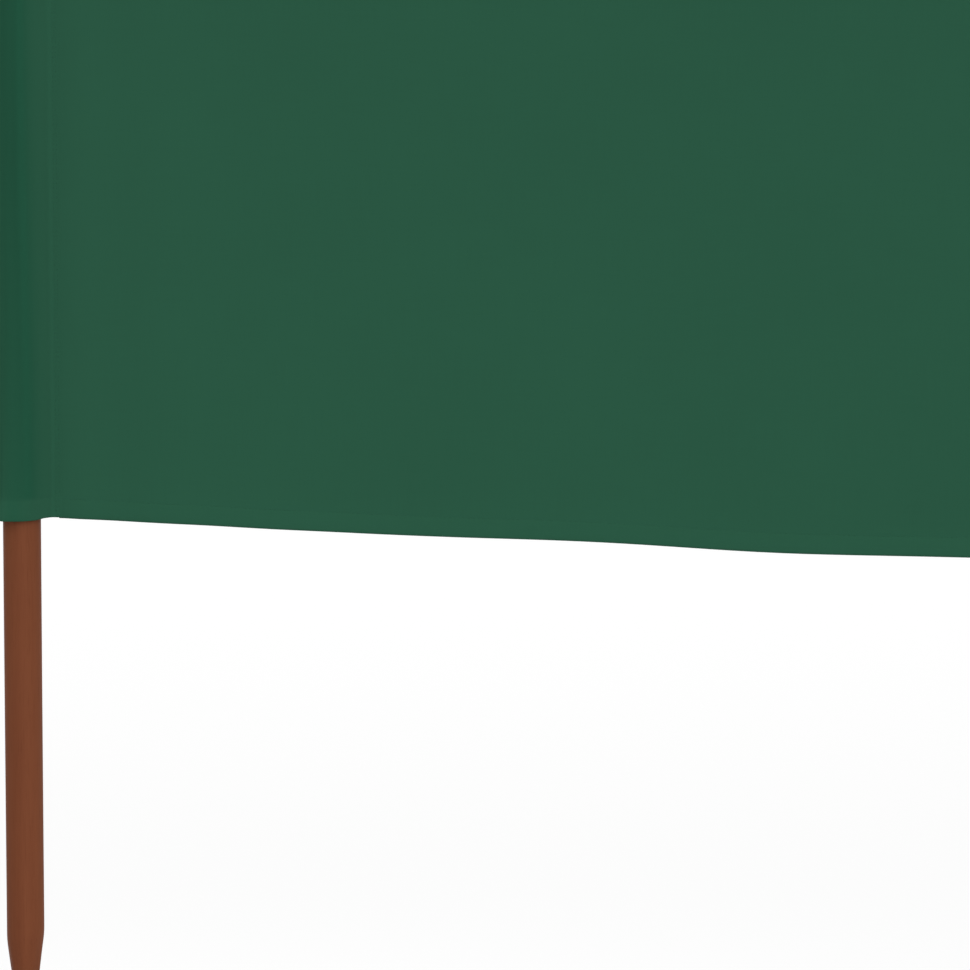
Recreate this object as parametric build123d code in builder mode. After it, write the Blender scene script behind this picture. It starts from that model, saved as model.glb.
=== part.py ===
from build123d import *
from math import acos, atan2, cos, degrees, sin, sqrt
import os

# Beach windbreak: pointed wooden poles set in a shallow zigzag, and one run of thin cloth between
# them, sewn into a sleeve round each pole. Lengths are in millimetres. +X runs along the row, +Z is
# up and -Y is the front. The origin is the middle of the blunt foot of the fourth pole.

# Poles
pole_count = 7
pole_diameter = 25.0
pole_length = 1600.0
point_length = 79.0
tip_diameter = 6.0
shoulder_radius = 120.0
top_bevel = 3.0

# Setting out: the pole at the origin, a bay from pole to pole, and how far every other pole
# stands forward
origin_pole = 4
bay_length = 1330.0
zigzag_depth = 190.0

# Cloth
cloth_height = 1200.0
cloth_thickness = 1.2
pole_above_cloth = 40.0
hem_height = 16.0
hem_layers = 2

# Sleeves: room round the pole, from there to the seam, and the doubled cloth beyond the seam
sleeve_clearance = 0.9
pocket_slack = 8.0
seam_allowance = 7.0

# Hang of the cloth in a bay, and the upright sections that shape it
belly_depth = 22.0
top_sag = 24.0
bottom_sag = 14.0
cloth_stations = 5

# Sizes that follow from these
pole_radius = pole_diameter / 2
pocket_radius = pole_radius + sleeve_clearance
seam_reach = pocket_radius + pocket_slack
flange_reach = seam_reach + seam_allowance
cloth_top = pole_length - pole_above_cloth
cloth_bottom = cloth_top - cloth_height
hem_thickness = hem_layers * cloth_thickness
bay_step = sqrt(bay_length**2 - zigzag_depth**2)
pole_numbers = range(1, pole_count + 1)


def pole_place(number):
    """Where a pole stands: every other pole from the origin's is forward."""
    steps = number - origin_pole
    return bay_step * steps, -zigzag_depth * (steps % 2)


def heading(start, end):
    """The direction from one pole to another, in degrees from +X."""
    (x0, y0), (x1, y1) = pole_place(start), pole_place(end)
    return degrees(atan2(y1 - y0, x1 - x0))


def make_pole(number):
    """A round pole with a cut point below, a soft shoulder and a bevelled top edge."""
    x, y = pole_place(number)
    with BuildPart() as pole:
        with BuildSketch(Plane(origin=(x, y, 0), x_dir=(1, 0, 0), z_dir=(0, -1, 0))) as profile:
            with BuildLine():
                Polyline(
                    (0, 0),
                    (tip_diameter / 2, 0),
                    (pole_radius, point_length),
                    (pole_radius, pole_length),
                    (0, pole_length),
                    close=True,
                )
            make_face()
            top_edge = profile.vertices().group_by(Axis.X)[-1].sort_by(Axis.Y)[-1]
            chamfer(top_edge, length=top_bevel)
            shoulder = profile.vertices().group_by(Axis.X)[-1].sort_by(Axis.Y)[0]
            fillet(shoulder, radius=shoulder_radius)
        revolve(axis=Axis((x, y, 0), (0, 0, 1)))
    return pole


def pocket_region(radius, seam_angles, mode=Mode.ADD):
    """A round drawn out to a corner at each seam, as cloth pulled tight round a pole is."""
    reach = radius * seam_reach / pocket_radius
    tangent = acos(radius / reach)
    touch_x, touch_y = radius * cos(tangent), radius * sin(tangent)
    Circle(radius, mode=mode)
    for angle in seam_angles:
        with Locations(Location((0, 0, 0), (0, 0, angle))):
            Polygon((0, 0), (touch_x, -touch_y), (reach, 0), (touch_x, touch_y), align=None, mode=mode)


def make_sleeve(number):
    """The pocket round a pole: its layers meet in a doubled seam on the side of each bay."""
    x, y = pole_place(number)
    neighbours = [other for other in (number - 1, number + 1) if other in pole_numbers]
    seam_angles = [heading(number, other) for other in neighbours]
    bands = (
        (cloth_bottom, hem_height, hem_thickness),
        (cloth_bottom + hem_height, cloth_height - 2 * hem_height, cloth_thickness),
        (cloth_top - hem_height, hem_height, hem_thickness),
    )
    with BuildPart() as sleeve:
        for base, height, wall in bands:
            with BuildSketch(Plane.XY.offset(base).move(Location((x, y, 0)))):
                pocket_region(pocket_radius + wall, seam_angles)
                for angle in seam_angles:
                    with Locations(Location((0, 0, 0), (0, 0, angle))):
                        with Locations((seam_reach, 0)):
                            Rectangle(seam_allowance, 2 * wall, align=(Align.MIN, Align.CENTER))
                pocket_region(pocket_radius, seam_angles, mode=Mode.SUBTRACT)
            extrude(amount=height)
    return sleeve


def make_bay_cloth(number, thickness, low_edge, low_sag, high_edge, high_sag):
    """A stretch of one bay's cloth, bellied to the back, between two edges that sag."""
    x, y = pole_place(number)
    turn = heading(number, number + 1)
    along, back = (Vector(*axis).rotate(Axis.Z, turn) for axis in ((1, 0, 0), (0, 1, 0)))
    bay = Plane(origin=(x, y, 0), x_dir=back, z_dir=along)
    with BuildPart() as cloth:
        for station in range(cloth_stations):
            share = station / (cloth_stations - 1)
            hang = 4 * share * (1 - share)
            low, high = low_edge - low_sag * hang, high_edge - high_sag * hang
            reach = flange_reach + share * (bay_length - 2 * flange_reach)
            with BuildSketch(bay.offset(reach)):
                with Locations((belly_depth * hang, low)):
                    Rectangle(thickness, high - low, align=(Align.CENTER, Align.MIN))
        loft()
    return cloth


def write_piece(piece, name):
    """Label a finished piece and write it under that name."""
    piece.part.label = name
    export_step(piece.part, f"parts/{name}.step")


os.makedirs("parts", exist_ok=True)

for number in pole_numbers:
    write_piece(make_pole(number), f"pole_{number}")
    write_piece(make_sleeve(number), f"sleeve_{number}")

low_hem_line = cloth_bottom + hem_height
high_hem_line = cloth_top - hem_height
for number in pole_numbers[:-1]:
    panel = make_bay_cloth(number, cloth_thickness, low_hem_line, bottom_sag, high_hem_line, top_sag)
    write_piece(panel, f"panel_{number}")
    hem = make_bay_cloth(number, hem_thickness, cloth_bottom, bottom_sag, low_hem_line, bottom_sag)
    write_piece(hem, f"bottom_hem_{number}")
    hem = make_bay_cloth(number, hem_thickness, high_hem_line, top_sag, cloth_top, top_sag)
    write_piece(hem, f"top_hem_{number}")
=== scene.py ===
from math import acos, asin, atan2, cos, pi, radians, sin, sqrt

import bpy
import numpy as np
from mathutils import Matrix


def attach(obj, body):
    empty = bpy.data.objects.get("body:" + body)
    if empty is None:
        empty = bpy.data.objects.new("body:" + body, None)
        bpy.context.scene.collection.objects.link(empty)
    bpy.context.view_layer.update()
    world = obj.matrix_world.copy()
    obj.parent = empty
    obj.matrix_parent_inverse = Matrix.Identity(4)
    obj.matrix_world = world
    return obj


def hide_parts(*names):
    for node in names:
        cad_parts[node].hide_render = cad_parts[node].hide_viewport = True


# Beach windbreak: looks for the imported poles, sleeves, panels and hems. Everything is in metres, in
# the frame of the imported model: +X along the row, -Y the front, the origin under the fourth pole.

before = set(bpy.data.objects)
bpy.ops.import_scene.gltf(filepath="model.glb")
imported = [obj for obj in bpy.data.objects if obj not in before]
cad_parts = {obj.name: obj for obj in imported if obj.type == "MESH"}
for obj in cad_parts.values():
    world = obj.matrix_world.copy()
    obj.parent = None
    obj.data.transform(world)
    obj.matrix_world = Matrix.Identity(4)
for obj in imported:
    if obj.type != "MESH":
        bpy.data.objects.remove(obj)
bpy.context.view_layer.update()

# Setting out, the same as the solids'
POLE_COUNT, ORIGIN_POLE = 7, 4
BAY_LENGTH, ZIGZAG_DEPTH = 1.330, 0.190
POLE_RADIUS, POLE_LENGTH, POINT_LENGTH = 0.0125, 1.600, 0.079
CLOTH_LOW, CLOTH_HIGH = 0.360, 1.560
TOP_SAG, BOTTOM_SAG, BELLY = 0.024, 0.014, 0.022
POCKET_RADIUS, SEAM_REACH, FLANGE_REACH = 0.0134, 0.0214, 0.0284

# Cloth as it looks: one layer, how far a bay's cloth is tucked into the seam allowance, and its flat
# size without the hems
WALL = 0.0006
TUCK = 0.0034

POLES = range(1, POLE_COUNT + 1)
BAY_STEP = sqrt(BAY_LENGTH**2 - ZIGZAG_DEPTH**2)
CLOTH_HEIGHT = CLOTH_HIGH - CLOTH_LOW

# Seeds: each pole, bay and sleeve has its own
POLE_SEED, BAY_SEED, SLEEVE_SEED = 400, 700, 900


def pole_place(number):
    """Where a pole stands: every other pole from the origin's is forward."""
    steps = number - ORIGIN_POLE
    return np.array([BAY_STEP * steps, -ZIGZAG_DEPTH * (steps % 2)])


def smooth_step(x):
    """From 0 to 1 without a corner at either end."""
    x = np.clip(x, 0.0, 1.0)
    return x * x * (3 - 2 * x)


def swell(x, middle, width):
    """A soft bump, 1 high at its middle."""
    return np.exp(-((x - middle) / width) ** 2)


# Node helpers

# Sockets of a Mix node that mixes colours
MIX_FAC, MIX_FIRST, MIX_SECOND, MIX_RESULT = 0, 6, 7, 2


def new_material(name):
    """A material with an empty node tree."""
    material = bpy.data.materials.new(name)
    material.use_nodes = True
    tree = material.node_tree
    tree.nodes.clear()
    return material, tree


def feed(tree, socket, value):
    """Link a socket to another, or set its value."""
    if isinstance(value, bpy.types.NodeSocket):
        tree.links.new(value, socket)
    else:
        socket.default_value = value


def node(tree, kind, inputs=None, **settings):
    """A new node with its settings and inputs."""
    made = tree.nodes.new(kind)
    for key, value in settings.items():
        setattr(made, key, value)
    for key, value in (inputs or {}).items():
        feed(tree, made.inputs[key], value)
    return made


def maths(tree, operation, first, second=None):
    """The result of a Math node."""
    made = node(tree, "ShaderNodeMath", {0: first}, operation=operation)
    if second is not None:
        feed(tree, made.inputs[1], second)
    return made.outputs[0]


def weighted(tree, *pairs):
    """The sum of sockets, each times its weight."""
    parts = [maths(tree, "MULTIPLY", socket, weight) for socket, weight in pairs]
    total = parts[0]
    for part in parts[1:]:
        total = maths(tree, "ADD", total, part)
    return total


def ramp(tree, fac, stops):
    """Colours along a value, from pairs of a position and a colour."""
    made = node(tree, "ShaderNodeValToRGB", {"Fac": fac})
    elements = made.color_ramp.elements
    while len(elements) > 1:
        elements.remove(elements[-1])
    elements[0].position, elements[0].color = stops[0][0], (*stops[0][1], 1)
    for position, colour in stops[1:]:
        elements.new(position).color = (*colour, 1)
    return made.outputs["Color"]


def mixed(tree, blend, fac, first, second):
    """Two colours put together; fac is a number or a socket."""
    inputs = {MIX_FAC: fac, MIX_FIRST: first, MIX_SECOND: second}
    made = node(tree, "ShaderNodeMix", data_type="RGBA", blend_type=blend)
    for key, value in inputs.items():
        feed(tree, made.inputs[key], value)
    return made.outputs[MIX_RESULT]


# Materials

YARN = 0.00048
CLOTH_GREEN = (0.0198, 0.0918, 0.0516)
# Painted shade: the darker green of cloth with a pole behind it, standing in for the light from behind
# that the pole keeps from coming through
PAINTED_SHADE_GREEN = (0.0082, 0.0730, 0.0385)
THREAD_GREEN = (0.0180, 0.0890, 0.0490)
DYE_SPREAD = 0.05


def cloth_material(name, colour, painted_shade_colour=None):
    """Plain-woven cloth: yarns in the bump, faint slubs along both and a slow change in the dyeing. Where
    a pole is behind it, a darker green is painted in as shade, for the light that the pole keeps from
    coming through."""
    material, tree = new_material(name)
    uv = node(tree, "ShaderNodeUVMap", uv_map="cloth_m").outputs[0]
    split = node(tree, "ShaderNodeSeparateXYZ", {0: uv})
    warp, weft = (maths(tree, "SINE", maths(tree, "MULTIPLY", split.outputs[axis], 2 * pi / YARN))
                  for axis in "XY")
    weave = maths(tree, "MULTIPLY", warp, weft)

    def streaks(along_x, along_y):
        """Noise that is drawn out along one set of yarns."""
        place = node(tree, "ShaderNodeMapping", {"Vector": uv, "Scale": (along_x, along_y, 1)})
        return node(tree, "ShaderNodeTexNoise",
                    {"Vector": place.outputs[0], "Scale": 1.0, "Detail": 2.0}).outputs["Fac"]

    def dyed(tint):
        """A colour with the slight changes of the dyeing."""
        return ramp(tree, tone, [(0.25, tuple(c * (1 - DYE_SPREAD) for c in tint)),
                                 (0.75, tuple(c * (1 + DYE_SPREAD) for c in tint))])

    slubs = maths(tree, "ADD", streaks(900, 25), streaks(25, 900))
    slow = node(tree, "ShaderNodeTexNoise", {"Vector": uv, "Scale": 9.0, "Detail": 3.0}).outputs["Fac"]
    tone = weighted(tree, (slubs, 0.30), (slow, 0.40))
    dye_and_painted_shade = dyed(colour)
    # Painted shade: the darker green is mixed in by the share of painted pole shade kept on the mesh
    if painted_shade_colour:
        painted_pole_shade = node(tree, "ShaderNodeAttribute", attribute_name="painted_pole_shade").outputs["Fac"]
        dye_and_painted_shade = mixed(tree, "MIX", painted_pole_shade, dye_and_painted_shade, dyed(painted_shade_colour))
    height = weighted(tree, (weave, 0.5), (slubs, 0.35))
    bump = node(tree, "ShaderNodeBump", {"Strength": 0.30, "Distance": 0.00006, "Height": height})
    cloth = node(tree, "ShaderNodeBsdfPrincipled", {
        "Base Color": dye_and_painted_shade, "Roughness": 0.85, "Specular IOR Level": 0.10,
        "Sheen Weight": 0.02, "Sheen Roughness": 0.5, "Normal": bump.outputs[0],
    })
    node(tree, "ShaderNodeOutputMaterial", {"Surface": cloth.outputs[0]})
    return material


def wood_material():
    """Stained round wood: long streaks, softer patches, fine fibres and darker pores."""
    material, tree = new_material("stained_wood")
    place = node(tree, "ShaderNodeTexCoord").outputs["Object"]

    def grain(across, along, detail, distortion=0.0):
        """Noise that is drawn out along the pole."""
        scaled = node(tree, "ShaderNodeMapping", {"Vector": place, "Scale": (across, across, along)})
        return node(tree, "ShaderNodeTexNoise", {
            "Vector": scaled.outputs[0], "Scale": 1.0, "Detail": detail, "Distortion": distortion,
        }).outputs["Fac"]

    broad = grain(150, 3.4, 3.0, 0.4)
    patches = grain(75, 13.0, 2.0, 0.3)
    fine = grain(900, 9.0, 2.0)
    pores = grain(2600, 60.0, 1.0)
    stain = ramp(tree, weighted(tree, (broad, 0.42), (patches, 0.30), (fine, 0.28)), [
        (0.32, (0.160, 0.0475, 0.0202)), (0.50, (0.179, 0.0550, 0.0234)), (0.68, (0.196, 0.0620, 0.0266)),
    ])
    specks = ramp(tree, pores, [(0.30, (0.80, 0.76, 0.74)), (0.40, (1.0, 1.0, 1.0))])
    height = weighted(tree, (fine, 0.7), (pores, 0.3))
    bump = node(tree, "ShaderNodeBump", {"Strength": 0.25, "Distance": 0.0003, "Height": height})
    wood = node(tree, "ShaderNodeBsdfPrincipled", {
        "Base Color": mixed(tree, "MULTIPLY", 0.7, stain, specks),
        "Roughness": ramp(tree, fine, [(0.3, (0.50, 0.50, 0.50)), (0.7, (0.64, 0.64, 0.64))]),
        "Specular IOR Level": 0.08, "Normal": bump.outputs[0],
    })
    node(tree, "ShaderNodeOutputMaterial", {"Surface": wood.outputs[0]})
    return material


woven_cloth = cloth_material("woven_cloth", CLOTH_GREEN, PAINTED_SHADE_GREEN)
hem_cloth = cloth_material("hem_cloth", CLOTH_GREEN, PAINTED_SHADE_GREEN)
thread = cloth_material("sewing_thread", THREAD_GREEN)
pole_wood = wood_material()


# Mesh helpers

def add_piece(name, points, faces, material, uv=None, painted_pole_shade=None):
    """A smooth mesh object from points, faces, a place on the cloth for each point, and the share of
    painted shade for a pole behind it."""
    mesh = bpy.data.meshes.new(name)
    mesh.from_pydata([tuple(p) for p in points], [], [tuple(f) for f in faces])
    mesh.polygons.foreach_set("use_smooth", [True] * len(mesh.polygons))
    if uv is not None:
        layer = mesh.uv_layers.new(name="cloth_m")
        index = np.empty(len(mesh.loops), np.int32)
        mesh.loops.foreach_get("vertex_index", index)
        layer.data.foreach_set("uv", np.asarray(uv, np.float32)[index].ravel())
    if painted_pole_shade is not None:
        mesh.attributes.new("painted_pole_shade", "FLOAT", "POINT").data.foreach_set(
            "value", np.asarray(painted_pole_shade, np.float32))
    mesh.materials.append(material)
    mesh.validate()
    mesh.update()
    piece = bpy.data.objects.new(name, mesh)
    bpy.context.scene.collection.objects.link(piece)
    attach(piece, "root")
    return piece


def grid_faces(rows, columns, offset=0, flip=False, wrap=False):
    """Quads between rows of points, with the last column joined to the first where they wrap."""
    row, column = np.meshgrid(np.arange(rows - 1), np.arange(columns if wrap else columns - 1),
                              indexing="ij")
    after = (column + 1) % columns
    quads = np.stack([row * columns + column, row * columns + after,
                      (row + 1) * columns + after, (row + 1) * columns + column], axis=-1)
    quads = quads.reshape(-1, 4) + offset
    return quads[:, ::-1] if flip else quads


def ring_faces(first, second):
    """Quads between two closed rings of point numbers."""
    return np.stack([first, np.roll(first, -1), np.roll(second, -1), second], axis=-1)


# Poles

# Height and radius of the rings at the blunt foot, and depth below the top and radius of those of the
# worn bevel
FOOT_RINGS = np.array([(0.0, 0.0020), (0.0004, 0.0026)])
TOP_RINGS = np.array([(0.0034, 0.01242), (0.0026, 0.01215), (0.0016, 0.01130), (0.0007, 0.01035),
                      (0.0002, 0.00985), (0.0, 0.00945)])
POLE_RINGS = np.concatenate([
    FOOT_RINGS[:, 0], [0.0012], np.linspace(0.004, 0.062, 12), np.linspace(0.066, 0.100, 12),
    np.linspace(0.112, 1.560, 60), np.linspace(1.570, 1.594, 4), POLE_LENGTH - TOP_RINGS[:, 0],
])
POLE_SIDES = 56

# The cut point: where its shoulder is, how steep it is and how softly it starts, the first two with
# how much they change from side to side, and its knife marks
SHOULDER_DROP, SHOULDER_CHANGE = 0.0012, 0.0028
CUT_SLOPE, CUT_CHANGE = 0.1310, 0.0075
SHOULDER_SOFT = 0.0045
FACETS, FACET_DEPTH, FACET_TURN = 9, 0.00022, 4.9

# Out of round: times round the pole and size
OUT_OF_ROUND = ((1, 0.00007), (2, 0.00006), (3, 0.00004))
MOST_BOW = 0.0004


def make_pole(number):
    """A turned pole with a point cut a little off centre, a slight bow and a worn top edge."""
    draw = np.random.default_rng(POLE_SEED + number)
    x, y = pole_place(number)
    cut_side = 0.0 if number == ORIGIN_POLE else draw.uniform(0, 2 * pi)
    bow_x, bow_y = draw.uniform(-MOST_BOW, MOST_BOW, 2) * (number != ORIGIN_POLE)
    turns = np.linspace(0, 2 * pi, POLE_SIDES, endpoint=False)
    high, around = np.meshgrid(POLE_RINGS, turns, indexing="ij")
    # The cut starts higher and runs shallower on one side than on the other
    side = np.cos(around - cut_side)
    shoulder = POINT_LENGTH - SHOULDER_DROP + SHOULDER_CHANGE * side
    rise = (high - shoulder) / SHOULDER_SOFT
    straight = np.maximum(shoulder - high, 0)
    below = np.where(np.abs(rise) < 1, SHOULDER_SOFT * (1 - rise) ** 2 / 4, straight)
    radius = np.maximum(POLE_RADIUS - (CUT_SLOPE - CUT_CHANGE * side) * below, FOOT_RINGS[-1, 1])
    radius[:len(FOOT_RINGS)] = FOOT_RINGS[:, 1:]
    radius[-len(TOP_RINGS):] = TOP_RINGS[:, 1:]
    worn = np.zeros_like(high)
    for wave, size in OUT_OF_ROUND:
        worn += size * np.cos(wave * around + draw.uniform(0, 6) + high * draw.uniform(4, 14))
    cut = np.clip(1 - high / POINT_LENGTH, 0, 1)
    marks = np.sin(FACETS * (around - cut_side) + FACET_TURN) * smooth_step(cut * 4) * (1 - 0.6 * cut)
    # The last of the point is too thin for either
    radius = np.where(radius > 0.004, radius + worn + FACET_DEPTH * marks, radius)
    bend = np.sin(pi * high / POLE_LENGTH)
    ring_x = x + radius * np.cos(around) + bow_x * bend
    ring_y = y + radius * np.sin(around) + bow_y * bend
    rings = np.stack([ring_x, ring_y, high], axis=-1).reshape(-1, 3)
    points = np.vstack([rings, (x, y, 0), (x, y, POLE_LENGTH)])
    faces = grid_faces(len(POLE_RINGS), POLE_SIDES, wrap=True).tolist()
    # The two ends close on one point each
    foot, top, last = len(rings), len(rings) + 1, len(rings) - POLE_SIDES
    for i in range(POLE_SIDES):
        j = (i + 1) % POLE_SIDES
        faces.append((j, i, foot))
        faces.append((last + i, last + j, top))
    piece = add_piece(f"wooden_pole_{number}", points, faces, pole_wood)
    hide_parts(f"pole_{number}")


# Hang of the cloth in a bay

# Painted shade of a pole behind the cloth, which stands in for the light from behind that the pole
# keeps from coming through: millimetres to the right of the sleeve's ridge, share of the painted shade
# for a single layer, share for a doubled hem, which hides more of the pole. The ridge is taken to be a
# little to the right of the pole's axis.
PAINTED_POLE_SHADE = np.array([
    (-34, 0, 0), (-24, 0.08, 0), (-17, 0.22, 0.05), (-13, 0.45, 0.33), (-9, 0.56, 0.40), (-5, 0.60, 0.26),
    (-1.4, 0.71, 0.18), (1, 0.73, 0.12), (3.5, 0.54, 0.05), (6, 0.31, 0), (9, 0.14, 0), (13, 0.06, 0),
    (21, 0.03, 0), (27, 0, 0),
])
RIDGE = 0.0026

# How far in from an edge a hem doubles the cloth, and over what height the doubling ends, in the
# sleeves' thickness and in the painted pole shade
HEM_DOUBLED, HEM_FADE = 0.0130, 0.0034

# Slight waves of an edge: height and length. Those of the photographed lower edge are separate
# swells, with height, place along the bay and width, and a wave that starts beyond them.
LOW_WAVES = ((0.0012, 0.52), (0.0008, 0.23))
HIGH_WAVES = ((0.0018, 0.44), (0.0010, 0.19))
SEEN_SWELLS = ((0.0015, 0.365, 0.085), (-0.0012, 0.500, 0.075), (0.0011, 0.085, 0.060),
               (0.0004, 0.200, 0.080))
SEEN_WAVE, SEEN_WAVE_LENGTH, SEEN_WAVE_TURN, SEEN_WAVE_START = 0.0012, 0.46, 1.2, 0.68

# Billows: length and depth
BILLOWS = ((0.62, 0.0026), (0.37, 0.0013), (0.21, 0.0006))

# Ripples beside the sleeves: where the first one starts, and how far from the sleeve they reach
RIPPLE_DEPTH, RIPPLE_LENGTH, RIPPLE_START, RIPPLE_REACH = 0.0011, 0.072, 0.016, 0.08

# Folds at the top corners: how many there would be in a full turn, and how far they reach
FOLD_DEPTH, FOLDS, FOLD_REACH = 0.0052, 9, 0.30

# Folds that hang from corner to corner: how far apart they are, how much further for each metre lower
# down, how much lower they hang in the middle of the bay and how far down they reach
SWAG_DEPTH, SWAG_LENGTH, SWAG_GROWTH, SWAG_DROP, SWAG_REACH = 0.0040, 0.150, 0.10, 0.055, 0.22

# Curl of the edges: how far the lower and the upper one go to the front, and over what height
LOW_CURL, HIGH_CURL, CURL_HEIGHT = 0.0013, 0.0011, 0.026


def painted_pole_shade_at(x, doubled=0.0):
    """Share of the painted pole shade at a distance to the right of a sleeve's ridge."""
    single, double = (np.interp(np.asarray(x) * 1000, PAINTED_POLE_SHADE[:, 0], PAINTED_POLE_SHADE[:, i]) for i in (1, 2))
    return single + doubled * (double - single)


def bay_painted_pole_shade(u, doubled=0.0):
    """Share of the painted pole shade along a bay, from the poles at both ends."""
    return np.maximum(painted_pole_shade_at(u - RIDGE, doubled), painted_pole_shade_at(u - BAY_LENGTH - RIDGE, doubled))


def doubling(height):
    """How far the cloth at a height above the lower rim is doubled by a hem: 1 in the hems."""
    edge = np.minimum(height, CLOTH_HEIGHT - height)
    return 1 - smooth_step((edge - HEM_DOUBLED) / HEM_FADE)


def waves(u, shapes, sizes, phases):
    """The sum of sine waves along a bay, from pairs of a height and a length."""
    return sum(height * size * np.sin(2 * pi * u / length + phase)
               for (height, length), size, phase in zip(shapes, sizes, phases))


def bay_hang(u):
    """How far along a bay a place is, and how far it hangs: 0 at the sleeves, 1 half way."""
    share = np.clip((u - FLANGE_REACH) / (BAY_LENGTH - 2 * FLANGE_REACH), 0, 1)
    return share, 4 * share * (1 - share)


class Bay:
    """One bay's cloth between two poles: where its middle surface lies."""

    def __init__(self, number):
        self.number = number
        self.start, end = pole_place(number), pole_place(number + 1)
        self.along = (end - self.start) / BAY_LENGTH
        self.back = np.array([-self.along[1], self.along[0]])
        draw = np.random.default_rng(BAY_SEED + number)
        phase = draw.uniform(0, 2 * pi, 16)
        size = draw.uniform(0.6, 1.0, 16)
        self.low_phase, self.low_size = phase[0:2], size[0:2]
        self.high_phase, self.high_size = phase[2:4], size[2:4]
        self.billow_phase, self.billow_bend, self.billow_size = phase[4:7], phase[7:10], size[4:7]
        self.ripple_phase = phase[10:12]
        self.fold_phase, self.fold_size = phase[12:14], size[12:14]
        self.pucker_phase = phase[14]
        self.swag_phase, self.swag_bend, self.swag_size = phase[15], phase[9], size[14]

    def low(self, u):
        """Height of the lower edge."""
        share, hang = bay_hang(u)
        if self.number == ORIGIN_POLE:
            wave = sum(height * swell(u, middle, width) for height, middle, width in SEEN_SWELLS)
            wave = wave + (SEEN_WAVE * np.sin(2 * pi * u / SEEN_WAVE_LENGTH + SEEN_WAVE_TURN)
                           * smooth_step((u - SEEN_WAVE_START) / 0.15))
        else:
            wave = waves(u, LOW_WAVES, self.low_size, self.low_phase)
        return CLOTH_LOW - BOTTOM_SAG * hang + wave * np.minimum(1, 8 * share * (1 - share))

    def high(self, u):
        """Height of the upper edge."""
        share, hang = bay_hang(u)
        wave = waves(u, HIGH_WAVES, self.high_size, self.high_phase)
        return CLOTH_HIGH - TOP_SAG * hang + wave * np.minimum(1, 8 * share * (1 - share))

    def offset(self, u, z):
        """How far behind the line from pole to pole the cloth is."""
        share, hang = bay_hang(u)
        up, down = z - self.low(u), self.high(u) - z
        free = np.minimum(1, 10 * share * (1 - share))
        v = BELLY * hang
        # Slow billows, stronger towards the slack top edge
        slack = 0.35 + 0.65 * smooth_step(up / 0.9)
        for (length, depth), phase, bend, size in zip(BILLOWS, self.billow_phase, self.billow_bend,
                                                      self.billow_size):
            slant = phase + 2 * pi * (u / length + 0.35 * np.sin(z * 2 + bend))
            v = v + depth * size * np.sin(slant) * free * slack
        for side, end in enumerate((u - FLANGE_REACH, BAY_LENGTH - FLANGE_REACH - u)):
            # Upright ripples beside each sleeve, where the cloth is pulled
            drift = 0.3 * np.sin(3 * z + self.ripple_phase[side])
            ripple = np.sin(2 * pi * (end - RIPPLE_START) / RIPPLE_LENGTH + drift)
            v = v + RIPPLE_DEPTH * ripple * np.exp(-end / RIPPLE_REACH) * smooth_step(end / 0.02)
            # Folds that fan out from the top corner
            reach = np.hypot(end, down) + 1e-6
            fan = np.arctan2(down, end + 0.004)
            fold = np.sin(FOLDS * fan + self.fold_phase[side]) * smooth_step(reach / 0.08)
            fold = fold * np.exp(-reach / FOLD_REACH)
            v = v + FOLD_DEPTH * self.fold_size[side] * fold * smooth_step(end / 0.05)
        # Shallow folds hang between the top corners, further apart and fainter lower down
        depth = down - SWAG_DROP * hang
        swag = np.sin(2 * pi * depth / (SWAG_LENGTH + SWAG_GROWTH * depth) + self.swag_phase)
        swag = swag * np.exp(-down / SWAG_REACH)
        uneven = 0.6 + 0.4 * np.sin(2 * pi * share + self.swag_bend)
        v = v + SWAG_DEPTH * self.swag_size * swag * free * uneven
        # The edges curl a little to the front
        for curl, inward in ((LOW_CURL, up), (HIGH_CURL, down)):
            v = v - curl * np.clip(1 - inward / CURL_HEIGHT, 0, 1) ** 2 * free
        return v

    def place(self, u, v, z):
        """Points in the frame from a length along the bay, an offset to the back and a height."""
        flat = self.start + u[..., None] * self.along + v[..., None] * self.back
        return np.concatenate([flat, z[..., None]], axis=-1)


def along_bay(count):
    """Stations along a bay, closer together beside the sleeves."""
    even = np.linspace(0, 1, count)
    packed = even - 0.0875 * np.sin(2 * pi * even)
    tucked = FLANGE_REACH - TUCK + np.array([0, 0.0002, 0.0006, 0.0012, 0.0020, 0.0028])
    return np.concatenate([tucked, FLANGE_REACH + packed * (BAY_LENGTH - 2 * FLANGE_REACH),
                           BAY_LENGTH - tucked[::-1]])


# Stations along a bay, the same for its cloth and its hems, and the heights above an edge at which the
# cloth has points: the hem's section has them at the same heights, so that the two keep together
BAY_STATIONS = along_bay(124)
EDGE_ROWS = np.array([3.2, 5.0, 9.0, 12.2, 12.9, 13.6, 17.0, 24.0, 31.0, 40.0]) / 1000
MIDDLE_ROWS = np.linspace(0, 1, 58)[1:-1]


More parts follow.
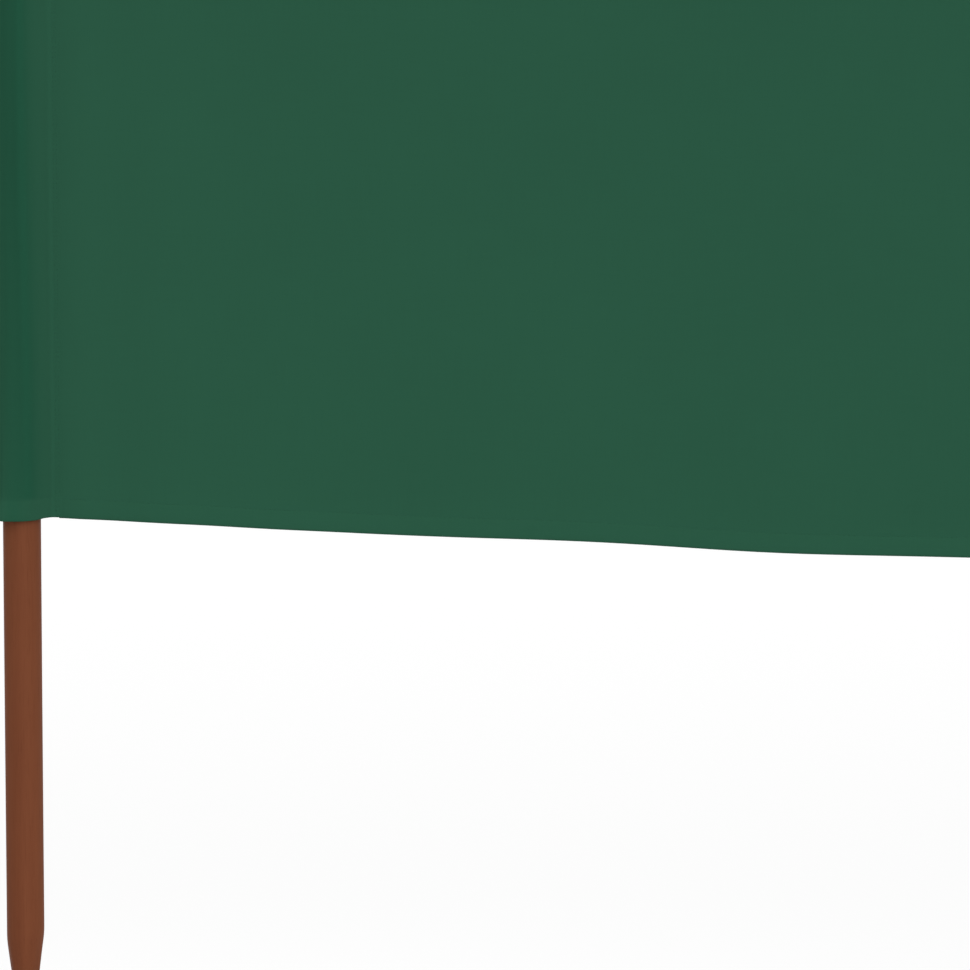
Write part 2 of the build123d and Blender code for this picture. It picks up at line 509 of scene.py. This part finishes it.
def make_bay_cloth(bay):
    """The single layer of cloth in a bay: a thin closed sheet whose edges go into the hems."""
    u = BAY_STATIONS
    near_low, near_high = bay.low(u) + EDGE_ROWS[:, None], bay.high(u) - EDGE_ROWS[::-1, None]
    between = near_low[-1] + MIDDLE_ROWS[:, None] * (near_high[0] - near_low[-1])
    z = np.vstack([near_low, between, near_high])
    across = np.broadcast_to(u, z.shape)
    v = bay.offset(across, z)
    front = bay.place(across, v - WALL / 2, z).reshape(-1, 3)
    rear = bay.place(across, v + WALL / 2, z).reshape(-1, 3)
    rows, columns = z.shape
    numbers = np.arange(rows * columns).reshape(rows, columns)
    loop = np.concatenate([numbers[0, :-1], numbers[:-1, -1], numbers[-1, :0:-1], numbers[:0:-1, 0]])
    faces = np.vstack([
        grid_faces(rows, columns), grid_faces(rows, columns, offset=rows * columns, flip=True),
        ring_faces(loop, loop + rows * columns)[:, ::-1],
    ])
    uv = np.stack([across, z], axis=-1).reshape(-1, 2)
    # Painted shade beside the poles at both ends of the bay
    painted_pole_shade = bay_painted_pole_shade(across).ravel()
    piece = add_piece(f"bay_cloth_{bay.number}", np.vstack([front, rear]), faces, woven_cloth,
                      np.vstack([uv, uv]), np.append(painted_pole_shade, painted_pole_shade))
    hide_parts(f"panel_{bay.number}")
    return piece


# A hem's section, from the stitches on the front, round the fold, to the folded edge behind: height
# above the cloth's edge and offset to the back, in millimetres, and how freely it puckers
HEM_SECTION = np.array([
    (13.6, -0.16, 0), (12.9, -0.36, 0), (12.2, -0.41, 0.2), (9.0, -0.50, 0.8), (5.0, -0.66, 1),
    (2.0, -0.68, 1), (0.6, -0.46, 1), (0.0, 0.05, 1), (0.5, 0.66, 1), (2.0, 0.98, 1), (5.0, 1.12, 1),
    (9.0, 1.10, 0.8), (12.2, 0.86, 0.2), (12.9, 0.74, 0), (13.6, 0.86, 0.2), (15.2, 1.02, 1),
    (16.0, 0.92, 1), (16.2, 0.50, 1), (16.0, 0.05, 1),
])

# Puckers of a hem: share of its thickness and length. Where it comes out of a seam allowance: the share
# of its section that it has there and the length over which it gets the rest.
PUCKERS = ((0.10, 0.021), (0.08, 0.0137))
HEM_START_SHARE, HEM_START_LENGTH = 0.45, 0.008


def hem_out(u):
    """How far a hem has its full section: it comes out of the seam allowances slowly."""
    clear = np.minimum(u, BAY_LENGTH - u) - FLANGE_REACH + TUCK
    return HEM_START_SHARE + (1 - HEM_START_SHARE) * smooth_step(clear / HEM_START_LENGTH)


def make_hem(bay, top):
    """A folded and sewn edge that follows the sagging cloth."""
    u = BAY_STATIONS
    above, behind, free = (column[:, None] for column in HEM_SECTION.T)
    across = np.broadcast_to(u, (len(HEM_SECTION), len(u)))
    z = bay.high(u) - above / 1000 if top else bay.low(u) + above / 1000
    # The double cloth puckers a little between the stitches and its edges
    pucker = waves(u, PUCKERS, (1, 1), (bay.pucker_phase, 0))
    v = bay.offset(across, z) + behind / 1000 * (1 + free * pucker) * hem_out(u)
    points = bay.place(across, v, z).reshape(-1, 3)
    numbers = np.arange(z.size).reshape(z.shape)
    around = np.vstack([numbers, numbers[:1]])
    quads = np.stack([around[:-1, :-1], around[:-1, 1:], around[1:, 1:], around[1:, :-1]], axis=-1)
    quads = quads.reshape(-1, 4)
    ends = [numbers[:, 0], numbers[::-1, -1]]
    if not top:
        quads, ends = quads[:, ::-1], [end[::-1] for end in ends]
    steps = np.hypot(*np.diff(HEM_SECTION[:, :2], axis=0).T)
    length = np.concatenate([[0], np.cumsum(steps)]) / 1000
    uv = np.stack([across, np.broadcast_to(length[:, None], across.shape)], axis=-1).reshape(-1, 2)
    kind = "top" if top else "bottom"
    # The hems carry less painted pole shade, as a doubled layer hides more of the pole
    piece = add_piece(f"{kind}_hem_cloth_{bay.number}", points, [*quads, *ends], hem_cloth,
                      uv, bay_painted_pole_shade(across, 1.0).ravel())
    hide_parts(f"{kind}_hem_{bay.number}")
    return piece


# Sleeves

# The rim of a sleeve is stiffer, so it stands off the pole more squarely: where it goes between the
# two seams, in millimetres right of the pole's axis and in front of it, and the turn from its middle
# to a seam, in degrees
RIM_POINTS = np.array([(-18.6, 9.8), (-15.0, 16.3), (-4.6, 16.8), (-0.6, 16.7), (4.5, 15.2), (8.4, 12.9),
                       (11.5, 10.4), (15.0, 7.8), (18.3, 5.3)])
RIM_TURN = 81.9

# The ridge of the photographed sleeve: height, and how far it is to the right of the pole's axis or
# from it
SEEN_RIDGE_RIGHT = ((0.36, 0.46, 0.62, 0.75, 1.2, 1.56),
                    (0.0052, 0.0046, 0.0020, 0.0012, -0.0010, 0.0008))
SEEN_RIDGE_OUT = ((0.36, 0.58, 0.70, 1.2, 1.56), (0.0180, 0.0175, 0.0160, 0.0162, 0.0168))

# The ridges of the others: degrees to either side of the middle, degrees that one wanders on its way
# up, how far it stands out, and its width in degrees on a layer that goes nearly all round the pole
RIDGE_SWING, RIDGE_WANDER, RIDGE_PROUD, RIDGE_WIDTH = 14, 9, (0.0008, 0.0030), 24

# How much the photographed sleeve's lower edge rises beside the pole: right of the axis and rise, in
# millimetres, and the height over which it dies away
SEEN_RISE = ((9.5, 12, 15, 18.5, 21, 27, 30, 36), (0, 0.25, 0.70, 0.70, 0.60, 0.50, 0.25, 0))
SEEN_RISE_HEIGHT = 0.04

# Where a sleeve has points: steps round a layer and along a seam allowance, and heights from a rim
LAYER_STEPS, FLANGE_STEPS = 64, 8
RIM_LEVELS = np.array([0.0, 0.5, 1.5, 3.5, 6.5, 9.5, 11.5, 12.8, 13.4, 14.0, 15.2, 16.4, 18.0, 21.0, 26.0,
                       36.0, 52.0, 75.0, 105.0]) / 1000
BETWEEN_LEVELS = np.linspace(0.140, 1.060, 24)
SLEEVE_LEVELS = np.concatenate([RIM_LEVELS, BETWEEN_LEVELS, CLOTH_HEIGHT - RIM_LEVELS[::-1]])

# The rim's shape: the share that dies away slowly and over what height, and where the rest starts to
# go and over what height
RIM_SLOW_SHARE, RIM_SLOW_HEIGHT, RIM_QUICK_START, RIM_QUICK_HEIGHT = 0.70, 0.060, 0.004, 0.0120

# How often a layer and a whole outline are softened, how close the inside comes to the pole, and how
# far short of the seam the layers meet inside, from the first point of the corner to its last
LAYER_PASSES, OUTLINE_PASSES = 22, 3
LEAST_CLEARANCE = 0.0007
INNER_CORNER = (0.0009, 0.0004)

# The groove that the hem's stitches pull, the rounding of the rim, how much thicker the hems make the
# seam allowance, and how thin its front half is at its edge
GROOVE_DEPTH, GROOVE_HEIGHT, GROOVE_WIDTH = 0.00012, 0.0134, 0.0009
ROUNDING_DEPTH, ROUNDING_HEIGHT = 0.00034, 0.0012
HEM_SEAM_GROWTH = 0.55
THIN_EDGE = 0.00015


def corner_radius(angles, corner_angles, corner_radii):
    """How far out a closed chain of straight lines is, seen from the middle, at each angle."""
    index = np.clip(np.searchsorted(corner_angles, angles, side="right") - 1, 0, len(corner_angles) - 2)
    a, b = corner_angles[index], corner_angles[index + 1]
    ra, rb = corner_radii[index], corner_radii[index + 1]
    return ra * rb * np.sin(b - a) / (ra * np.sin(angles - a) + rb * np.sin(b - angles))


def soften(values, passes):
    """Average each value with its neighbours, with the two ends held."""
    values = values.copy()
    for _ in range(passes):
        values[1:-1] = 0.25 * values[:-2] + 0.5 * values[1:-1] + 0.25 * values[2:]
    return values


def soften_loop(points, passes):
    """Average each point of a closed outline with its neighbours."""
    for _ in range(passes):
        points = 0.22 * np.roll(points, 1, axis=0) + 0.56 * points + 0.22 * np.roll(points, -1, axis=0)
    return points


def thinned(reach, half):
    """Half a seam allowance's thickness in front, where it thins out so that the bay's cloth comes
    out of it without a step."""
    return half + (reach - SEAM_REACH) / (FLANGE_REACH - SEAM_REACH) * (THIN_EDGE - half)


class Layer:
    """One layer of a sleeve, from seam to seam: how far it is from the pole's axis."""

    def __init__(self, start, end, draw, seen=False):
        self.start, self.end, self.seen = start, end, seen
        self.middle, self.half = (start + end) / 2, (end - start) / 2
        inset = asin(WALL / SEAM_REACH)
        self.angles = np.linspace(start + inset, end - inset, LAYER_STEPS)
        self.ridge = radians(draw.uniform(-RIDGE_SWING, RIDGE_SWING))
        self.proud = draw.uniform(*RIDGE_PROUD)
        self.drift = draw.uniform(-1, 1, 4)

    def upper(self, height):
        """Distance from the axis well away from the rims."""
        outer = POCKET_RADIUS + WALL
        from_seam = np.minimum(self.angles - self.start, self.end - self.angles)
        bend = acos(outer / SEAM_REACH)
        tight = np.where(from_seam >= bend, outer, outer / np.cos(np.clip(bend - from_seam, 0, bend)))
        if self.seen:
            far = np.interp(height, *SEEN_RIDGE_OUT)
            ridge = asin(np.interp(height, *SEEN_RIDGE_RIGHT) / far)
        else:
            wander = self.drift[0] * np.sin(2.1 * height + 3 * self.drift[1])
            ridge = self.ridge + radians(RIDGE_WANDER) * wander
            change = 0.5 * self.drift[2] * np.sin(3.3 * height + 4 * self.drift[3])
            far = outer + self.proud * (1 + change)
        # A layer on one side of the pole, a half turn or a little more, is drawn out to its ridge. One
        # that goes all round swells there.
        if self.half < radians(95):
            corners = np.array([self.start, self.middle + ridge, self.end])
            loose = corner_radius(self.angles, corners, np.array([SEAM_REACH, far, SEAM_REACH]))
        else:
            loose = outer + (far - outer) * swell(self.angles, self.middle + ridge, radians(RIDGE_WIDTH))
        return np.maximum(tight, loose)

    def rim(self):
        """Distance from the axis at a rim."""
        turns = np.arctan2(RIM_POINTS[:, 0], RIM_POINTS[:, 1]) / radians(RIM_TURN)
        radii = np.hypot(*RIM_POINTS.T) / 1000
        if not self.seen:
            radii = radii + 0.0005 * self.drift[0]
            if self.drift[1] > 0:
                turns, radii = -turns[::-1], radii[::-1]
        turns = np.concatenate([[-1], turns, [1]])
        radii = np.concatenate([[SEAM_REACH], radii, [SEAM_REACH]])
        return corner_radius(self.angles, self.middle + turns * self.half, radii)


def sleeve_layers(number):
    """The layers of a sleeve and the seam at the end of each: one on an end pole, or else two."""
    draw = np.random.default_rng(SLEEVE_SEED + number)
    # Both neighbours of a pole are equally far in front of it or behind it
    step = pole_place(number + 1) - pole_place(number)
    right = pi / 2 + atan2(step[1], step[0])
    left = -right
    if number == 1:
        return [Layer(right - 2 * pi, right, draw)], [right]
    if number == POLE_COUNT:
        return [Layer(left, left + 2 * pi, draw)], [left + 2 * pi]
    front = Layer(left, right, draw, seen=number == ORIGIN_POLE)
    return [front, Layer(right, left + 2 * pi, draw)], [right, left + 2 * pi]


def sleeve_outlines(layers, seams, height):
    """The sleeve's outer and inner outlines at one height above its lower edge."""
    edge = min(height, CLOTH_HEIGHT - height)
    doubled = float(doubling(height))
    rounding = ROUNDING_DEPTH * max(0.0, 1 - edge / ROUNDING_HEIGHT) ** 2
    groove = GROOVE_DEPTH * swell(edge, GROOVE_HEIGHT, GROOVE_WIDTH)
    # Most of the rim's shape dies away slowly, the rest where the hem ends
    quick = float(1 - smooth_step((edge - RIM_QUICK_START) / RIM_QUICK_HEIGHT))
    square = RIM_SLOW_SHARE * np.exp(-edge / RIM_SLOW_HEIGHT) + (1 - RIM_SLOW_SHARE) * quick
    outer, inner = [], []
    for layer, seam in zip(layers, seams):
        radius = (1 - square) * layer.upper(CLOTH_LOW + height) + square * layer.rim()
        radius = soften(np.maximum(radius, POCKET_RADIUS + WALL) - groove - rounding, LAYER_PASSES)
        inside = np.maximum(radius - WALL * (1 + doubled), POLE_RADIUS + LEAST_CLEARANCE)
        direction = np.stack([np.sin(layer.angles), -np.cos(layer.angles)], axis=-1)
        outer.append(radius[:, None] * direction)
        inner.append(inside[:, None] * direction)
        # The seam allowance: out along one side, round its edge and back along the other
        out = np.array([sin(seam), -cos(seam)])
        aside = np.array([-out[1], out[0]])
        reach = np.linspace(SEAM_REACH, FLANGE_REACH, FLANGE_STEPS + 1)[1:, None]
        half = WALL * (1 + HEM_SEAM_GROWTH * doubled) - rounding
        thin = thinned(reach, half)
        before, behind = (thin, half) if aside[1] > 0 else (half, thin)
        outer.append(reach * out - before * aside)
        outer.append((reach * out + behind * aside)[::-1])
        # Inside, the layers meet in a corner just short of the seam
        corner = SEAM_REACH - np.linspace(*INNER_CORNER, FLANGE_STEPS)
        inner.append(np.append(corner, corner[::-1])[:, None] * out)
    return soften_loop(np.vstack(outer), OUTLINE_PASSES), np.vstack(inner)


def make_sleeve(number):
    """The pocket round a pole: layers that part at one seam, go round the pole and meet again."""
    place = pole_place(number)
    layers, seams = sleeve_layers(number)
    outlines = [sleeve_outlines(layers, seams, height) for height in SLEEVE_LEVELS]
    outer, inner = (np.array(rows) + place for rows in zip(*outlines))
    rows, columns = outer.shape[:2]
    heights = np.repeat(SLEEVE_LEVELS, columns)
    points = np.hstack([np.vstack([outer.reshape(-1, 2), inner.reshape(-1, 2)]),
                        CLOTH_LOW + np.tile(heights, 2)[:, None]])
    ridge = RIDGE
    if number == ORIGIN_POLE:
        rise = np.interp(points[:, 0] * 1000, *SEEN_RISE) / 1000
        points[:, 2] += rise * np.clip(1 - (points[:, 2] - CLOTH_LOW) / SEEN_RISE_HEIGHT, 0, 1)
        ridge = np.interp(points[:, 2], *SEEN_RIDGE_RIGHT)
    total = rows * columns
    numbers = np.arange(columns)
    faces = np.vstack([
        grid_faces(rows, columns, wrap=True),
        grid_faces(rows, columns, offset=total, wrap=True, flip=True),
        ring_faces(numbers, numbers + total)[:, ::-1],
        ring_faces(numbers + total - columns, numbers + 2 * total - columns),
    ])
    run = np.linalg.norm(np.diff(outer[rows // 2], axis=0), axis=1)
    flat = np.stack([np.tile(np.append(0, np.cumsum(run)), rows), heights], axis=-1)
    # Painted shade where the pole is behind the cloth, less in the doubled hems
    painted_pole_shade = painted_pole_shade_at(points[:, 0] - place[0] - ridge, doubling(points[:, 2] - CLOTH_LOW))
    piece = add_piece(f"sleeve_cloth_{number}", points, faces, woven_cloth,
                      np.vstack([flat, flat]), painted_pole_shade)
    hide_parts(f"sleeve_{number}")
    return piece, float(run.sum())


# Stitches

# A stitch shows as a small lens: its corners and faces, and half its length, width and thickness
STITCH_SHAPE = np.array([(-1, 0, 0), (1, 0, 0), (0, -1, 0), (0, 1, 0), (0, 0, -1), (0, 0, 1)], float)
STITCH_FACES = np.array([(0, 2, 5), (0, 5, 3), (0, 3, 4), (0, 4, 2),
                         (1, 5, 2), (1, 3, 5), (1, 4, 3), (1, 2, 4)])
STITCH_SIZE = np.array([0.00112, 0.00020, 0.00008])
STITCH_PITCH = 0.0032

# A hem's row: its height above the edge, how far short of the seam allowances it ends, and its offset
# on the front and behind. A seam's two rows: how far they are from the pole's axis, and how far inside
# the rims they start and end.
HEM_ROW, HEM_ROW_MARGIN = 0.0129, 0.0016
HEM_ROW_FRONT, HEM_ROW_BEHIND = -0.00036, 0.00076
SEAM_ROWS = (0.0232, 0.0252)
SEAM_ROW_START, SEAM_ROW_END = 0.002, 0.001
SHORT_STEP = 0.001


def hem_stitches(bay):
    """One row of stitches through each hem of a bay, seen from the front and from behind."""
    parts = []
    half = BAY_LENGTH / 2 - FLANGE_REACH - HEM_ROW_MARGIN
    u = BAY_LENGTH / 2 + np.linspace(-half, half, round(2 * half / STITCH_PITCH) + 1)
    ahead = u + SHORT_STEP
    for edge, height in ((bay.low, HEM_ROW), (bay.high, -HEM_ROW)):
        z, z_ahead = edge(u) + height, edge(ahead) + height
        for lift, out in ((HEM_ROW_FRONT, -1), (HEM_ROW_BEHIND, 1)):
            lift = lift * hem_out(u)
            middles = bay.place(u, bay.offset(u, z) + lift, z)
            runs = bay.place(ahead, bay.offset(ahead, z_ahead) + lift, z_ahead) - middles
            outs = np.tile(np.append(out * bay.back, 0.0), (len(u), 1))
            parts.append((middles, runs, outs))
    return parts


def seam_stitches(number):
    """Two rows of stitches up each seam allowance of a sleeve, on both of its faces."""
    parts = []
    place = pole_place(number)
    z = np.arange(CLOTH_LOW + SEAM_ROW_START, CLOTH_HIGH - SEAM_ROW_END, STITCH_PITCH)
    half = WALL * (1 + HEM_SEAM_GROWTH * doubling(z - CLOTH_LOW))
    for other in (number - 1, number + 1):
        if other not in POLES:
            continue
        out = (pole_place(other) - place) / BAY_LENGTH
        aside = np.array([-out[1], out[0]])
        for reach in SEAM_ROWS:
            for face in (-1, 1):
                lift = thinned(reach, half) if face * aside[1] < 0 else half
                flat = place + reach * out + face * lift[:, None] * aside
                runs = np.tile([0.0, 0.0, 1.0], (len(z), 1))
                outs = np.tile(np.append(face * aside, 0.0), (len(z), 1))
                parts.append((np.hstack([flat, z[:, None]]), runs, outs))
    return parts


def add_stitches(name, parts):
    """One mesh of stitches from rows of middles, directions to run in and directions to face."""
    middles, runs, outs = (np.vstack(rows) for rows in zip(*parts))
    runs = runs / np.linalg.norm(runs, axis=1)[:, None]
    outs = outs / np.linalg.norm(outs, axis=1)[:, None]
    axes = np.stack([runs, np.cross(outs, runs), outs], axis=1)
    points = (middles[:, None] + STITCH_SHAPE * STITCH_SIZE @ axes).reshape(-1, 3)
    faces = STITCH_FACES + len(STITCH_SHAPE) * np.arange(len(middles))[:, None, None]
    return add_piece(name, points, faces.reshape(-1, 3), thread, points[:, [0, 2]])


# Put the windbreak together

for number in POLES:
    make_pole(number)

for number in POLES:
    sleeve, around = make_sleeve(number)
    sewn = add_stitches(f"seam_stitches_{number}", seam_stitches(number))

for number in POLES[:-1]:
    bay = Bay(number)
    cloth = make_bay_cloth(bay)
    hems = [make_hem(bay, top=False), make_hem(bay, top=True)]
    sewn = add_stitches(f"hem_stitches_{number}", hem_stitches(bay))


# Floor, light and camera

# The floor as other things see it, and as the camera does: a glow and a dull part that keeps shadow
FLOOR_HALF = 200.0
FLOOR_GREY, FLOOR_SHADOW_GREY, FLOOR_GLOW = 0.56, 0.16, 0.858
WHITE = (1, 1, 1, 1)
WORLD_FILL, WORLD_WHITE = 0.49, 1.0

# A soft light from the front and a weaker one from straight behind: energy, degrees to the right of
# the front, degrees up
LIGHTS = {"key": (1.93, 15.0, 40.0), "back": (1.05, 193.0, 38.0)}
LIGHT_SPREAD = 80

CAMERA_X, CAMERA_AIM_Z, CAMERA_DISTANCE, CAMERA_PITCH = 0.3048, 0.3815, 5.909, 10.27
CAMERA_SENSOR, CAMERA_LENS, CAMERA_CLIP_END = 36.0, 333.4, 1000.0


def see_white(tree):
    """1 for rays that show the background itself: camera, glossy and transmitted ones."""
    path = node(tree, "ShaderNodeLightPath")
    shown = maths(tree, "MAXIMUM", path.outputs["Is Camera Ray"], path.outputs["Is Glossy Ray"])
    return maths(tree, "MAXIMUM", shown, path.outputs["Is Transmission Ray"])


def dull(tree, grey):
    """A diffuse grey."""
    return node(tree, "ShaderNodeBsdfDiffuse", {"Color": (grey, grey, grey, 1)}).outputs[0]


def split_view(tree, hidden, shown):
    """One shader for the rays that light things and another for those that show the background."""
    return node(tree, "ShaderNodeMixShader", {0: see_white(tree), 1: hidden, 2: shown}).outputs[0]


def add_floor():
    """A pale floor that looks white and keeps a faint shadow."""
    mesh = bpy.data.meshes.new("floor")
    corners = [(-FLOOR_HALF, -FLOOR_HALF, 0), (FLOOR_HALF, -FLOOR_HALF, 0),
               (FLOOR_HALF, FLOOR_HALF, 0), (-FLOOR_HALF, FLOOR_HALF, 0)]
    mesh.from_pydata(corners, [], [(0, 1, 2, 3)])
    floor = bpy.data.objects.new("floor", mesh)
    bpy.context.scene.collection.objects.link(floor)
    paint, tree = new_material("floor_paint")
    glow = node(tree, "ShaderNodeEmission", {"Color": WHITE, "Strength": FLOOR_GLOW}).outputs[0]
    shown = node(tree, "ShaderNodeAddShader", {0: glow, 1: dull(tree, FLOOR_SHADOW_GREY)}).outputs[0]
    surface = split_view(tree, dull(tree, FLOOR_GREY), shown)
    node(tree, "ShaderNodeOutputMaterial", {"Surface": surface})
    mesh.materials.append(paint)


def add_world():
    """Even light from all round, and white where it is seen."""
    world = bpy.data.worlds.new("studio")
    world.use_nodes = True
    tree = world.node_tree
    tree.nodes.clear()
    fill, white = (node(tree, "ShaderNodeBackground", {"Color": WHITE, "Strength": strength}).outputs[0]
                   for strength in (WORLD_FILL, WORLD_WHITE))
    node(tree, "ShaderNodeOutputWorld", {"Surface": split_view(tree, fill, white)})
    bpy.context.scene.world = world


def add_light(name, energy, azimuth, elevation):
    """A soft sun."""
    light = bpy.data.objects.new(name, bpy.data.lights.new(name, "SUN"))
    light.data.energy = energy
    light.data.angle = radians(LIGHT_SPREAD)
    light.rotation_euler = (radians(90 - elevation), 0, radians(azimuth))
    bpy.context.scene.collection.objects.link(light)


def add_camera():
    """The photograph's view: from the front and a little above."""
    camera = bpy.data.objects.new("camera", bpy.data.cameras.new("camera"))
    camera.data.sensor_width = CAMERA_SENSOR
    camera.data.lens = CAMERA_LENS
    camera.data.clip_end = CAMERA_CLIP_END
    pitch = radians(CAMERA_PITCH)
    height = CAMERA_AIM_Z + CAMERA_DISTANCE * sin(pitch)
    camera.location = (CAMERA_X, -CAMERA_DISTANCE * cos(pitch), height)
    camera.rotation_euler = (radians(90 - CAMERA_PITCH), 0, 0)
    bpy.context.scene.collection.objects.link(camera)
    bpy.context.scene.camera = camera


add_floor()
add_world()
for name, setting in LIGHTS.items():
    add_light(name, *setting)
add_camera()
bpy.context.scene.view_settings.view_transform = "Standard"
